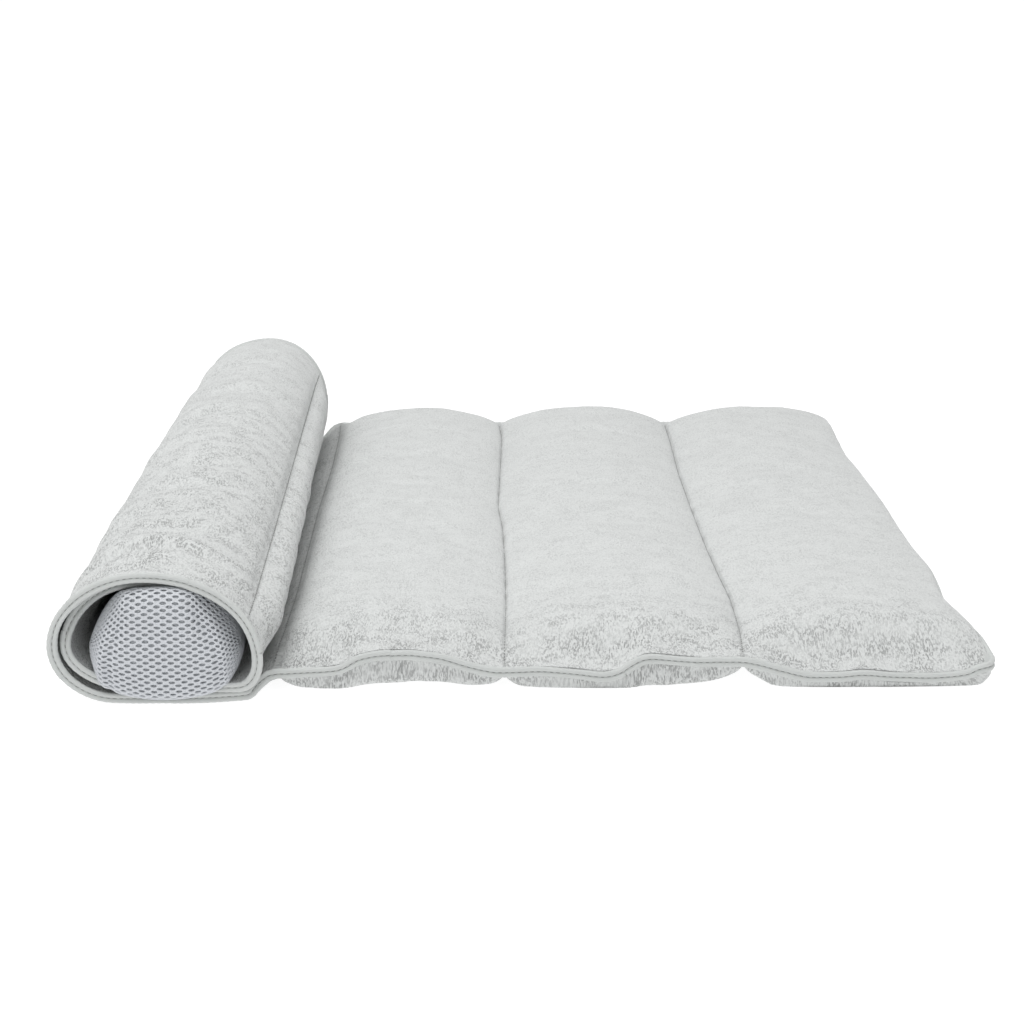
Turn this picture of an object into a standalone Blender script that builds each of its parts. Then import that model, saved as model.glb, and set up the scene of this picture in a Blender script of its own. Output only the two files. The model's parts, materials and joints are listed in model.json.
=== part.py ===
"""A quilted towelling nap futon, rolled up at one end round a stuffed mesh pillow.

Seven sewn channels of padding run across the futon. Channels 1 to 3 lie flat, and channels 4 to 7
make the roll, with the underside of the futon outward. Every channel is a face cover and a back
cover with batting between them, and binding tape wraps the edges. In the roll each channel is in
two halves, so that the roll opens at its seams and at the middles of its channels.

Metres, +Z up. X runs along the futon with the roll at -X, and Y runs across it with the open mouth
of the roll at -Y. The design below works with x = 0 at the crease beside the roll; SHIFT_X and
SHIFT_Y put the origin under the middle of the whole object.
"""

import math

import bmesh
import bpy
import numpy as np

# The futon: seven channels of one pitch, and the width across it
PITCH = 0.172
FLAT_CHANNELS = 3
WIDTH = 0.700
ROLL_OUT = 0.015  # the roll stands this much nearer at its mouth than the flat part
ROLL_OUT_START = 0.020  # and the padding skews from here, measured from the crease,
ROLL_OUT_RUN = 0.050  # over this length

# Padding: thickness at a channel's middle, at the sewn seams and at the bound edges
FLAT_FULL = 0.0425
FLAT_MID_Z = 0.020  # height of the seams of the flat channels
SEAM_THICK = 0.0034
EDGE_THICK = 0.0050
ROLL_FULL = {4: 0.0160, 5: 0.0115, 6: 0.0095, 7: 0.0085}
UNDERSIDE = 1.12  # the underside is this much rounder than the face before the floor flattens it
LOFT_POWER = 0.8
COVER = 0.0010
GAP = 0.0003
FOLD_GAP = 0.0020  # half the gap at a seam that folds up
SPLIT_GAP = 0.0002  # half the gap at a joint of the roll

# Binding tape round the edges
TAPE = 0.0012
TAPE_COVERS = 0.006

# The roll's section at its mouth and at its far end. Its outer skin starts at the crease, lies on
# the floor, rises at the left, crosses the top and comes down as the flank, then tucks in and goes
# round once more inside itself.
ROLL_WIDTH = (0.151, 0.133)
ROLL_REACH = 0.1503  # how far the facets of its widest part reach
ROLL_HEIGHT = (0.096, 0.117)
LEFT_Z = (0.042, 0.052)
LEFT_RUN = (0.047, 0.050)
TOP_X = (-0.080, -0.068)
FLANK_X = (-0.006, -0.012)
FLANK_Z = (0.032, 0.045)
TUCK = 0.018
CREASE_RUN = 0.020
LAP = 0.0135  # from one turn's skin to the next, at the sides and the top
BOTTOM_LAP = 0.0178
EDGE_LAP = 0.0090  # the same at the bound edges, where the padding is thin
EDGE_INSET = 0.0022
END_ANGLE = 25  # the free end stops at this angle above the roll's right side

# Where the roll is jointed, measured along its skin from the crease; every second one is a seam
ROLL_JOINTS = (0.133, 0.178, 0.273, 0.365, 0.416, 0.532, 0.600)
ROLL_BODIES = ("4a", "4b", "5a", "5b", "6a", "6b", "7a", "7b")
ROLL_SEAMS = (0.0, 0.178, 0.365, 0.532)
CELL = 0.016  # length of a facet along the roll

# Stations across the futon, as distances from the nearer bound edge
EDGE_STATIONS = (0.0, 0.008, 0.030, 0.060)

# The pillow: distance behind the roll's mouth, half width, height above and below its side seam,
# and the side seam's x and z
PILLOW = (
    (-0.0120, 0.034, 0.0260, 0.0150, -0.068, 0.040),
    (-0.0085, 0.047, 0.0370, 0.0250, -0.068, 0.040),
    (-0.0032, 0.053, 0.0420, 0.0300, -0.068, 0.040),
    (-0.0022, 0.048, 0.0360, 0.0185, -0.075, 0.038),
    (0.0600, 0.045, 0.0325, 0.0120, -0.078, 0.040),
    (0.2400, 0.044, 0.0330, 0.0150, -0.075, 0.043),
    (0.3500, 0.043, 0.0340, 0.0165, -0.074, 0.045),
    (0.3850, 0.039, 0.0240, 0.0120, -0.073, 0.045),
    (0.4000, 0.033, 0.0080, 0.0060, -0.073, 0.045),
)
PILLOW_SKIN = 0.0008

FLAT_LENGTH = FLAT_CHANNELS * PITCH
SHIFT_X = (ROLL_REACH - FLAT_LENGTH - GAP - TAPE) / 2
SHIFT_Y = (ROLL_OUT - PILLOW[0][0] - GAP - TAPE) / 2

TOWELLING = ("towelling", (0.70, 0.73, 0.725), 0.95)
TAPE_CLOTH = ("binding_tape", (0.66, 0.69, 0.685), 0.9)
BATTING = ("batting", (0.90, 0.90, 0.88), 1.0)
SPACER_MESH = ("spacer_mesh", (0.62, 0.64, 0.67), 0.8)


def clear_scene():
    for obj in list(bpy.data.objects):
        bpy.data.objects.remove(obj, do_unlink=True)


def material(name, colour, roughness):
    """The named material, made on first use."""
    found = bpy.data.materials.get(name)
    if found:
        return found
    made = bpy.data.materials.new(name)
    made.use_nodes = True
    shader = made.node_tree.nodes["Principled BSDF"]
    shader.inputs["Base Color"].default_value = (*colour, 1.0)
    shader.inputs["Roughness"].default_value = roughness
    shader.inputs["Metallic"].default_value = 0.0
    return made


def mix(pair, f):
    """From the value at the roll's mouth to the value at its far end."""
    return pair[0] + (pair[1] - pair[0]) * f


def smooth(t):
    t = min(max(t, 0.0), 1.0)
    return t * t * (3 - 2 * t)


def quarter(centre, half_x, half_z, start, stop, count=24):
    """Points of an elliptical arc between two angles in degrees."""
    a = np.radians(np.linspace(start, stop, count))
    return np.stack([centre[0] + half_x * np.cos(a), centre[1] + half_z * np.sin(a)], axis=1)


def rise(edge):
    """0 at a bound edge, 1 where the padding has its full thickness."""
    first, last = EDGE_STATIONS[1], EDGE_STATIONS[-1]
    return smooth((edge - first) / (last - first))


def roll_section(f, full):
    """The roll's outer skin in x and z. f runs from the mouth to the far end, full from edge to middle."""
    width, height = mix(ROLL_WIDTH, f), mix(ROLL_HEIGHT, f)
    left_z, left_run = mix(LEFT_Z, f), mix(LEFT_RUN, f)
    top_x, flank_x, flank_z = mix(TOP_X, f), mix(FLANK_X, f), mix(FLANK_Z, f)
    lap = EDGE_LAP + (LAP - EDGE_LAP) * full
    floor = EDGE_LAP + (BOTTOM_LAP - EDGE_LAP) * full
    left = (left_run - width, left_z)
    start_z = FLAT_MID_Z - UNDERSIDE * SEAM_THICK / 2
    t = np.linspace(0, 1, 12)[:, None]
    knee = -CREASE_RUN * 0.45
    hang = (
        (1 - t) ** 3 * np.array([0, start_z])
        + 3 * (1 - t) ** 2 * t * np.array([knee, start_z])
        + 3 * (1 - t) * t**2 * np.array([knee, 0])
        + t**3 * np.array([-CREASE_RUN, 0])
    )
    pieces = [
        hang,
        quarter(left, left_run, left_z, 270, 180),
        quarter((top_x, left_z), width + top_x, height - left_z, 180, 90),
        quarter((top_x, flank_z), flank_x - top_x, height - flank_z, 90, 0),
        quarter((flank_x - TUCK, flank_z), TUCK, flank_z - floor, 0, -90),
        quarter(left, left_run - lap, left_z - floor, 270, 180),
        quarter((top_x, left_z), width + top_x - lap, height - left_z - lap, 180, 90),
        quarter((top_x, flank_z), flank_x - top_x - lap, height - flank_z - lap, 90, END_ANGLE),
    ]
    points = np.concatenate(pieces)
    repeats = np.linalg.norm(np.diff(points, axis=0), axis=1) < 1e-6
    return points[np.concatenate([[True], ~repeats])]


def reference_lengths():
    """Length along the skin to each of roll_section's points, half way along the roll."""
    steps = np.linalg.norm(np.diff(roll_section(0.5, 1.0), axis=0), axis=1)
    return np.concatenate([[0.0], np.cumsum(steps)])


LENGTHS = reference_lengths()
ROLL_END = float(LENGTHS[-1])


def roll_point(s, f, full):
    """A point of the roll's outer skin and the direction inward, at length s from the crease."""
    points = roll_section(f, full)

    def at(length):
        return np.array([np.interp(length, LENGTHS, points[:, k]) for k in (0, 1)])

    reach = 0.002
    along = at(min(s + reach, ROLL_END)) - at(max(s - reach, 0.0))
    along /= np.linalg.norm(along)
    return at(s), np.array([along[1], -along[0]])


def channel_of(s):
    """The channel that length s lies in, how far across it s is, and whether that is a free end."""
    if s <= 0:
        k = min(int(-s / PITCH), FLAT_CHANNELS - 1)
        number, start, stop = FLAT_CHANNELS - k, k * PITCH, (k + 1) * PITCH
    else:
        ends = (*ROLL_SEAMS, ROLL_END)
        k = max(n for n in range(4) if s >= ends[n])
        number, start, stop = 4 + k, ends[k], ends[k + 1]
    middle = (start + stop) / 2
    free_end = number in (1, 4 + len(ROLL_SEAMS) - 1) and abs(s) > middle
    if free_end:
        stop -= TAPE_COVERS
    half = stop - middle if abs(s) > middle else middle - start
    return number, min(max(0.5 + 0.5 * (abs(s) - middle) / half, 0.0), 1.0), free_end


def thickness(s, edge):
    """The pad's thickness at length s, at a distance from the bound edge."""
    number, across, free_end = channel_of(s)
    full = ROLL_FULL.get(number, FLAT_FULL)
    loft = max(math.sin(math.pi * across), 0.0) ** LOFT_POWER
    least = EDGE_THICK if free_end else SEAM_THICK + loft * (EDGE_THICK - SEAM_THICK)
    return least + loft * (full - EDGE_THICK) * rise(edge)


def pad_point(s, across, depth, from_back=True):
    """A point of the padding in the object's frame.

    s is the length from the crease, below 0 on the flat part. across runs from 0 at the mouth's
    edge to WIDTH. depth is measured in from the back cover's outside, or from the face cover's.
    """
    across_inside = min(max(across, 0.0), WIDTH)
    edge = min(across_inside, WIDTH - across_inside)
    thick = thickness(s, edge)
    y = across - WIDTH / 2 - ROLL_OUT * smooth((s - ROLL_OUT_START) / ROLL_OUT_RUN)
    if s <= 0:
        back = max(0.0, FLAT_MID_Z - UNDERSIDE * thick / 2)
        face = FLAT_MID_Z + thick / 2
        z = back + depth if from_back else face - depth
        x = -s
    else:
        full = rise(edge)
        skin, inward = roll_point(s, across_inside / WIDTH, full)
        inset = EDGE_INSET * (1 - full)
        x, z = skin + inward * (inset + (depth if from_back else thick - depth))
    return x + SHIFT_X, y + SHIFT_Y, z


def slab(name, count_u, count_v, place, finish):
    """A closed sheet: a grid of cells, extruded to its other side, each vertex set by place(u, v, side)."""
    bm = bmesh.new()
    bmesh.ops.create_grid(bm, x_segments=count_u, y_segments=count_v, size=1.0)
    made = bmesh.ops.extrude_face_region(bm, geom=bm.faces[:])
    far_side = {v for v in made["geom"] if isinstance(v, bmesh.types.BMVert)}
    for vert in bm.verts:
        u = round((vert.co.x + 1) / 2 * count_u)
        v = round((vert.co.y + 1) / 2 * count_v)
        vert.co = place(u, v, 1 if vert in far_side else 0)
    bmesh.ops.recalc_face_normals(bm, faces=bm.faces[:])
    if bm.calc_volume(signed=True) < 0:
        bmesh.ops.reverse_faces(bm, faces=bm.faces[:])
    mesh = bpy.data.meshes.new(name)
    bm.to_mesh(mesh)
    bm.free()
    mesh.materials.append(material(*finish))
    obj = bpy.data.objects.new(name, mesh)
    bpy.data.collections["nap_futon"].objects.link(obj)
    return obj


def across_stations():
    """Distances from the mouth's edge at which the padding has vertices."""
    near = list(EDGE_STATIONS)
    return [*near, WIDTH / 2, *(WIDTH - d for d in reversed(near))]


def pad(name, stations):
    """Face cover, back cover and batting between them, over the given lengths."""
    rows = across_stations()
    u, v = len(stations) - 1, len(rows) - 1

    def back(i, j, side):
        return pad_point(stations[i], rows[j], COVER * side)

    def face(i, j, side):
        return pad_point(stations[i], rows[j], COVER * side, from_back=False)

    def batting(i, j, side):
        return pad_point(stations[i], rows[j], COVER + GAP, from_back=side == 0)

    slab(f"{name}_back_cover", u, v, back, TOWELLING)
    slab(f"{name}_face_cover", u, v, face, TOWELLING)
    slab(f"{name}_batting", u, v, batting, BATTING)


def side_binding(name, stations, far):
    """Tape folded round the bound edge at the mouth's side, or at the far side."""
    edge, inward = (WIDTH, -1) if far else (0.0, 1)

    def place(i, j, side):
        off = GAP + TAPE * side
        across = edge + inward * (TAPE_COVERS if j in (0, 3) else -off)
        return pad_point(stations[i], across, -off, from_back=j < 2)

    slab(name, len(stations) - 1, 3, place, TAPE_CLOTH)


def end_binding(name, end, outward):
    """Tape folded round the futon's end, between the two side tapes."""
    rows = across_stations()
    rows[0], rows[-1] = TAPE_COVERS + GAP, WIDTH - TAPE_COVERS - GAP
    inner = end - outward * TAPE_COVERS

    def place(i, j, side):
        off = GAP + TAPE * side
        back = j < 2
        x, y, z = pad_point(inner if j in (0, 3) else end, rows[i], -off, from_back=back)
        if j in (1, 2):
            x0, _, z0 = pad_point(inner, rows[i], -off, from_back=back)
            along = math.hypot(x - x0, z - z0)
            x, z = x + (x - x0) / along * off, z + (z - z0) / along * off
        return x, y, z

    slab(name, len(rows) - 1, 3, place, TAPE_CLOTH)


def spaced(start, stop, count):
    return [start + (stop - start) * k / count for k in range(count + 1)]


def flat_channel(number):
    """Channel 1 is the free end of the flat part, channel 3 lies beside the roll."""
    near = (FLAT_CHANNELS - number) * PITCH
    fractions = (0.0, 0.10, 0.30, 0.5, 0.70, 0.90, 1.0)
    inner, outer = near + FOLD_GAP, near + PITCH
    if number > 1:
        outer -= FOLD_GAP
    stations = [-(inner + (outer - inner) * f) for f in fractions]
    if number == 1:
        stations.insert(-1, stations[-1] + TAPE_COVERS)
    name = f"channel_{number}"
    pad(name, stations)
    side_binding(f"{name}_binding_front", stations, far=False)
    side_binding(f"{name}_binding_rear", stations, far=True)
    if number == 1:
        end_binding(f"{name}_binding_end", stations[-1], -1)


def roll_part(index):
    """One jointed half channel of the roll."""
    ends = (FOLD_GAP, *ROLL_JOINTS, ROLL_END)
    start = ends[index] + (SPLIT_GAP if index else 0.0)
    last = index == len(ROLL_BODIES) - 1
    stop = ends[index + 1] - (GAP + TAPE if last else SPLIT_GAP)
    stations = spaced(start, stop, math.ceil((stop - start) / CELL))
    if last:
        stations.insert(-1, stop - TAPE_COVERS)
    name = f"channel_{ROLL_BODIES[index]}"
    pad(name, stations)
    side_binding(f"{name}_binding_front", stations, far=False)
    side_binding(f"{name}_binding_rear", stations, far=True)
    if last:
        end_binding(f"{name}_binding_end", stop, 1)


def pillow_point(station, angle, inset):
    """A point of the pillow's section, domed above and flatter below, inset from its outside."""
    back, half_width, above, below, x, z = PILLOW[station]
    height = above if angle >= 0 else below
    x += math.cos(angle) * (half_width - inset)
    z += math.sin(angle) * (height - inset)
    y = back - WIDTH / 2 - ROLL_OUT
    return x + SHIFT_X, y + SHIFT_Y, z


def pillow():
    """Two mesh panels, joined round the sides, and the filling between them."""
    around, along = 10, len(PILLOW) - 1

    def panel(sign):
        def place(i, j, side):
            x, y, z = pillow_point(j, sign * math.pi * i / around, PILLOW_SKIN * side)
            return x, y, z + sign * GAP / 2

        return place

    def filling(i, j, side):
        sign = 1 if side else -1
        inset = PILLOW_SKIN + GAP
        x, y, z = pillow_point(j, sign * math.pi * i / around, inset)
        edge = GAP / 2 if i in (0, around) else 0.0
        return x, y, z + sign * edge

    slab("pillow_panel_top", around, along, panel(1), SPACER_MESH)
    slab("pillow_panel_bottom", around, along, panel(-1), SPACER_MESH)
    slab("pillow_filling", around, along, filling, BATTING)


def build():
    clear_scene()
    collection = bpy.data.collections.get("nap_futon") or bpy.data.collections.new("nap_futon")
    if collection.name not in bpy.context.scene.collection.children:
        bpy.context.scene.collection.children.link(collection)
    for number in range(1, FLAT_CHANNELS + 1):
        flat_channel(number)
    for index in range(len(ROLL_BODIES)):
        roll_part(index)
    pillow()


build()
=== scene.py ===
"""The look of a quilted towelling nap futon, rolled up at one end round a mesh pillow.

The padding is one surface, worked out from a length s along the futon and a distance across it.
s is 0 at the crease beside the roll, below 0 on the flat channels, and above 0 along the roll's
outer skin, which is the futon's underside. The surface is cut into strips that each span the joint
between two bodies, and the binding and the quilting thread follow the same strips. Lengths are in metres.
"""

import json
import math

import bpy
import numpy as np
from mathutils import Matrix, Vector

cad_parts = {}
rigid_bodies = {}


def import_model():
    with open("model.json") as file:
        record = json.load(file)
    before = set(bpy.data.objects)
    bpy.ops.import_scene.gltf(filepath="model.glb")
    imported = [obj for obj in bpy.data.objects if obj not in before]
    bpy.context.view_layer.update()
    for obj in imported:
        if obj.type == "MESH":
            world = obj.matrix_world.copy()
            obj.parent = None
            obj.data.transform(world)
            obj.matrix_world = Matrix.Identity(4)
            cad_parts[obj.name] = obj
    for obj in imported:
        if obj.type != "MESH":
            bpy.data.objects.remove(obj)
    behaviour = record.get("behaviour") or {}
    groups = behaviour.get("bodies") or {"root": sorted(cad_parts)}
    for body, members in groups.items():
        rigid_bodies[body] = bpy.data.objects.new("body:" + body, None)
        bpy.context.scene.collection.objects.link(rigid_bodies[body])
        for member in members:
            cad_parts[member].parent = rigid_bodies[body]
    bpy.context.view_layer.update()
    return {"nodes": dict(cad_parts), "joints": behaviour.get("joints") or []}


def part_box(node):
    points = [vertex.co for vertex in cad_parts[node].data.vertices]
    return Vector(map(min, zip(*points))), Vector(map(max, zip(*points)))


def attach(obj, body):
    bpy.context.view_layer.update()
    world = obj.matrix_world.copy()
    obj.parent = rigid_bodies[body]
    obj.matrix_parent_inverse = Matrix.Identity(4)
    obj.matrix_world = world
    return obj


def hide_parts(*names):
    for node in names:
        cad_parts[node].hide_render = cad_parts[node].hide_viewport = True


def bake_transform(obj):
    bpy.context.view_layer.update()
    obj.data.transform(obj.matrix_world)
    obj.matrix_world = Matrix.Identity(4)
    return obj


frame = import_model()

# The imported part's own places
JOINTS = {joint["name"]: joint for joint in frame["joints"]}
CREASE_X = JOINTS["seam_3_4"]["pos_m"][0]
MOUTH_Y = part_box("channel_2_face_cover")[0].y
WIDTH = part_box("channel_2_face_cover")[1].y - MOUTH_Y

# The futon's channels, between these lengths: 1, 2 and 3 are flat, 4 to 7 are rolled up
PITCH = 0.172
CHANNEL_ENDS = np.array([-3 * PITCH, -2 * PITCH, -PITCH, 0.0, 0.178, 0.365, 0.532, 0.668])
CHANNEL_LOFT = np.array([0.0425, 0.0440, 0.0425, 0.0160, 0.0115, 0.0095, 0.0085])
ROLL_END = CHANNEL_ENDS[-1]

# Padding. A rise is a pair of distances from an edge: where the padding starts to fill out, and where
# it is full. A loft power below 1 makes a channel fill out nearer to its seams.
SEAM_Z = 0.020  # height of the middle of the pad at a seam
SEAM_THICK = 0.0036
EDGE_THICK = 0.0046
UNDERSIDE = 1.12  # the back cover's share of the thickness, where the face's share is 1
FACE_RISE = (0.003, 0.055)
BACK_RISE = (-0.004, 0.012)
FAR_RISE = (-0.003, 0.025)
FAR_RISE_POWER = 0.6
ROLL_RISE = (0.008, 0.060)
FAR_PLUMP = 1.20  # the flat channels are this much plumper at their far end
FAR_PLUMP_SHORT = 0.05  # which is reached this far before it
FRONT_BULGE, FRONT_BULGE_RISE, FRONT_BULGE_REACH = 0.0075, 0.008, 0.060  # of the back cover, at the front
FLAT_LOFT_POWER = 0.55
FREE_END_POWER = 0.36
UNDER_LOFT_POWER = 0.34
ROLL_LOFT_POWER = 0.8
CREASE_EASE, CREASE_SHARE = 0.022, 0.70  # channel 3 is thinner by the crease, over this length
RELIEF_FADE = 0.02  # unevenness fades out within this distance of an edge
SEAM_PINCH, SEAM_PINCH_WIDTH = 0.0040, 0.007  # how far the roll's sewn seams are drawn in
EDGE_INSET = 0.0022  # the roll's outer skin is drawn in by this at its edges
FLOOR_GAP = 0.0002  # nothing lies lower than this

# The roll's section at its mouth and at its far end
ROLL_WIDTH = ((0.0, 0.10, 0.35, 0.70, 1.0), (0.151, 0.147, 0.1490, 0.146, 0.142))  # along it
ROLL_HEIGHT = (0.098, 0.118)
LEFT_Z = (0.042, 0.052)  # height of its leftmost point
LEFT_RUN = (0.047, 0.050)  # how wide its lower left curve is
TOP_X = (-0.080, -0.068)  # its top, behind the crease
FLANK_X = (0.000, -0.010)  # its rightmost point, and that point's height
FLANK_Z = (0.032, 0.050)
TUCK = 0.018  # half width of the turn from the flank to the inside
CREASE_RUN = 0.020  # the crease's own sway and height fade out over this length
HANG = (0.011, 0.020)  # the underside comes down to the floor within this run
LAP = 0.0135  # from one turn of the skin to the next, in the middle, on the floor, and at the edges
BOTTOM_LAP = 0.0178
EDGE_LAP = 0.0078
CORNER_CUT = 0.022  # the inner turn's edge cuts the lower left corner by this much
END_ANGLE = 25  # in degrees, where the inner turn ends on the right
STRIP_BULGE = 0.0105  # below the last seam on the flank the padding bulges out by this,
STRIP_MIDDLE, STRIP_WIDTH = 0.384, 0.016  # at this length, and over this one,
STRIP_FADE = 0.7  # less so towards the far end

# How far the mouth is drawn out towards the viewer, over which lengths and distance
ROLL_OUT, ROLL_OUT_START, ROLL_OUT_RUN = 0.015, 0.002, 0.020
MOUTH_OUT, MOUTH_OUT_RUN, MOUTH_REACH = 0.011, 0.060, 0.25
SET_BACK, SET_BACK_START, SET_BACK_RUN = 0.016, 0.520, 0.090  # the inner turn's end is set back

# Strips: name, the lengths they run between, their two bodies, and the part's channels they stand for
STRIPS = (
    ("free_end", -0.516, -0.258, "channel_1", "channel_2", ("1",)),
    ("middle", -0.258, -0.086, "channel_2", "channel_3", ("2",)),
    ("crease", -0.086, 0.075, "channel_3", "channel_4a", ("3",)),
    ("roll_floor", 0.075, 0.1555, "channel_4a", "channel_4b", ("4a",)),
    ("roll_left", 0.1555, 0.2255, "channel_4b", "channel_5a", ("4b",)),
    ("roll_top", 0.2255, 0.319, "channel_5a", "channel_5b", ("5a",)),
    ("roll_flank", 0.319, 0.3905, "channel_5b", "channel_6a", ("5b",)),
    ("roll_tuck", 0.3905, 0.474, "channel_6a", "channel_6b", ("6a",)),
    ("roll_inside", 0.474, 0.566, "channel_6b", "channel_7a", ("6b",)),
    ("roll_end", 0.566, 0.668, "channel_7a", "channel_7b", ("7a", "7b")),
)
FLAT_BEND = 0.025  # a flat channel bends within this distance of its seam
BEND_MARGIN = 0.0015

STEP_ALONG = 0.0030  # mean spacing of the pad's vertices
STEP_ACROSS = 0.0035
FACE_START = 0.1  # gap in the cloth's coordinates between the back cover and the face


def smooth(t):
    """0 to 1 with level ends."""
    t = np.clip(t, 0.0, 1.0)
    return t * t * (3 - 2 * t)


def rise(x, ends):
    """0 to 1 between the two ends."""
    return smooth((x - ends[0]) / (ends[1] - ends[0]))


def bell(x, width):
    """A hump of height 1 at 0."""
    return np.exp(-((x / width) ** 2))


def mix(pair, f):
    """From the value at the roll's mouth to the value at its far end."""
    return pair[0] + (pair[1] - pair[0]) * f


def noise(x, y, size, seed):
    """Smooth noise from -1 to 1, with features of the given size along x and y."""
    table = np.random.default_rng(seed).uniform(-1, 1, (128, 128))
    u, v = np.asarray(x) / size[0], np.asarray(y) / size[1]
    i, j = np.floor(u).astype(int), np.floor(v).astype(int)
    fu, fv = smooth(u - i), smooth(v - j)
    at = [[table[(i + a) % 128, (j + b) % 128] for b in (0, 1)] for a in (0, 1)]
    low = at[0][0] * (1 - fv) + at[0][1] * fv
    high = at[1][0] * (1 - fv) + at[1][1] * fv
    return low * (1 - fu) + high * fu


def eased(pairs, at, window):
    """The line through (place, value) pairs with its corners rounded, read off at the given places."""
    places, values = np.array(pairs).T
    grid = np.linspace(places[0] - window, places[-1] + window, 1500)
    reach = max(int(window / (grid[1] - grid[0])), 1)
    kernel = np.hanning(reach + 2)
    line = np.pad(np.interp(grid, places, values), reach, "edge")
    line = np.convolve(line, kernel / kernel.sum(), "same")
    return np.interp(at, grid, line[reach:-reach])


def continued(rows, reach):
    """The rows with more before and after them, turned about the first and the last."""
    before = 2 * rows[:1] - rows[reach:0:-1]
    after = 2 * rows[-1:] - rows[-2 : -reach - 2 : -1]
    return np.concatenate([before, rows, after])


def averaged(rows, kernel):
    """Each row averaged with its neighbours by the kernel's weights."""
    padded = continued(rows, len(kernel) // 2)
    weights = kernel / kernel.sum()
    return np.stack([np.convolve(padded[:, k], weights, "valid") for k in range(rows.shape[1])], 1)


def quarter(centre, half_x, half_z, start, stop, count=24):
    """Points of an elliptical arc between two angles in degrees."""
    a = np.radians(np.linspace(start, stop, count))
    return np.stack([centre[0] + half_x * np.cos(a), centre[1] + half_z * np.sin(a)], axis=1)


def roll_section(f, full):
    """The roll's outer skin in x and z. f runs from mouth to far end, and full from edge to middle."""
    width, height = np.interp(f, *ROLL_WIDTH), mix(ROLL_HEIGHT, f)
    left_z, left_run = mix(LEFT_Z, f), mix(LEFT_RUN, f)
    top_x, flank_x, flank_z = mix(TOP_X, f), mix(FLANK_X, f), mix(FLANK_Z, f)
    lap = EDGE_LAP + (LAP - EDGE_LAP) * full
    floor = EDGE_LAP + (BOTTOM_LAP - EDGE_LAP) * full
    left = (left_run - width, left_z)
    cut = CORNER_CUT * (1 - full)
    start_z = SEAM_Z - UNDERSIDE * SEAM_THICK / 2
    t = np.linspace(0, 1, 12)[:, None]
    hang_run = mix(HANG, f)
    knee = -hang_run * 0.45
    hang = (
        (1 - t) ** 3 * np.array([0, start_z])
        + 3 * (1 - t) ** 2 * t * np.array([knee, start_z])
        + 3 * (1 - t) * t**2 * np.array([knee, 0])
        + t**3 * np.array([-hang_run, 0])
    )
    points = np.concatenate([
        hang,
        quarter(left, left_run, left_z, 270, 180),
        quarter((top_x, left_z), width + top_x, height - left_z, 180, 90),
        quarter((top_x, flank_z), flank_x - top_x, height - flank_z, 90, 0),
        quarter((flank_x - TUCK, flank_z), TUCK, flank_z - floor, 0, -90),
        quarter((left[0] + cut, left_z), left_run - lap + cut, left_z - floor, 270, 180),
        quarter((top_x, left_z), width + top_x - lap, height - left_z - lap, 180, 90),
        quarter((top_x, flank_z), flank_x - top_x - lap, height - flank_z - lap, 90, END_ANGLE),
    ])
    repeats = np.linalg.norm(np.diff(points, axis=0), axis=1) < 1e-6
    return points[np.concatenate([[True], ~repeats])]


class RollSkin:
    """The roll's outer skin and its inward direction, looked up from a table along and across it."""

    def __init__(self, samples=700, across=9):
        middle = roll_section(0.5, 1.0)
        steps = np.linalg.norm(np.diff(middle, axis=0), axis=1)
        lengths = np.concatenate([[0.0], np.cumsum(steps)])
        self.length = np.linspace(0.0, lengths[-1], samples)
        self.f = np.linspace(0.0, 1.0, across)
        rows = []
        for f in self.f:
            pair = []
            for full in (0.0, 1.0):
                section = roll_section(f, full)
                line = np.stack([np.interp(self.length, lengths, section[:, k]) for k in (0, 1)], 1)
                pair.append(averaged(line, np.hanning(15)))
            rows.append(pair)
        self.table = np.array(rows)
        along = np.gradient(self.table, axis=2)
        along /= np.linalg.norm(along, axis=3, keepdims=True)
        self.inward = np.stack([along[..., 1], -along[..., 0]], axis=3)

    def at(self, s, f, full):
        """The skin's point and inward direction at length s. f and full are as for roll_section."""
        u = np.clip(s / self.length[-1], 0, 1) * (len(self.length) - 1)
        i = np.minimum(u.astype(int), len(self.length) - 2)
        v = np.clip(f, 0, 1) * (len(self.f) - 1)
        j = np.minimum(v.astype(int), len(self.f) - 2)
        fu, fv, full = (u - i)[..., None], (v - j)[..., None], np.asarray(full)[..., None]

        def pick(table):
            rows = []
            for k in (0, 1):
                edge = table[j + k, 0, i] * (1 - fu) + table[j + k, 0, i + 1] * fu
                mid = table[j + k, 1, i] * (1 - fu) + table[j + k, 1, i + 1] * fu
                rows.append(edge * (1 - full) + mid * full)
            return rows[0] * (1 - fv) + rows[1] * fv

        inward = pick(self.inward)
        inward = inward / np.linalg.norm(inward, axis=-1, keepdims=True)
        return pick(self.table), inward


SKIN = RollSkin()

# How high the bound edge at the mouth's side runs above the floor: length, height
FRONT_EDGE = (
    (-0.516, 0.0150), (-0.508, 0.0110), (-0.490, 0.0100), (-0.470, 0.0085), (-0.445, 0.0095),
    (-0.425, 0.0122), (-0.412, 0.0100), (-0.388, 0.0095), (-0.374, 0.0135), (-0.354, 0.0195),
    (-0.338, 0.0210), (-0.311, 0.0212), (-0.289, 0.0236), (-0.274, 0.0250), (-0.264, 0.0200),
    (-0.256, 0.0130), (-0.244, 0.0102), (-0.224, 0.0132), (-0.199, 0.0148), (-0.168, 0.0130),
    (-0.147, 0.0182), (-0.125, 0.0250), (-0.100, 0.0282), (-0.075, 0.0275), (-0.058, 0.0242),
    (-0.049, 0.0172), (-0.038, 0.0155), (-0.009, 0.0135), (0.0, 0.0125),
)
FRONT_EDGE_REACH = 0.050  # how far in its height is felt
FRONT_EDGE_EASE, SWAY_EASE = 0.016, 0.050  # how widely the corners of these lines are rounded
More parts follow.
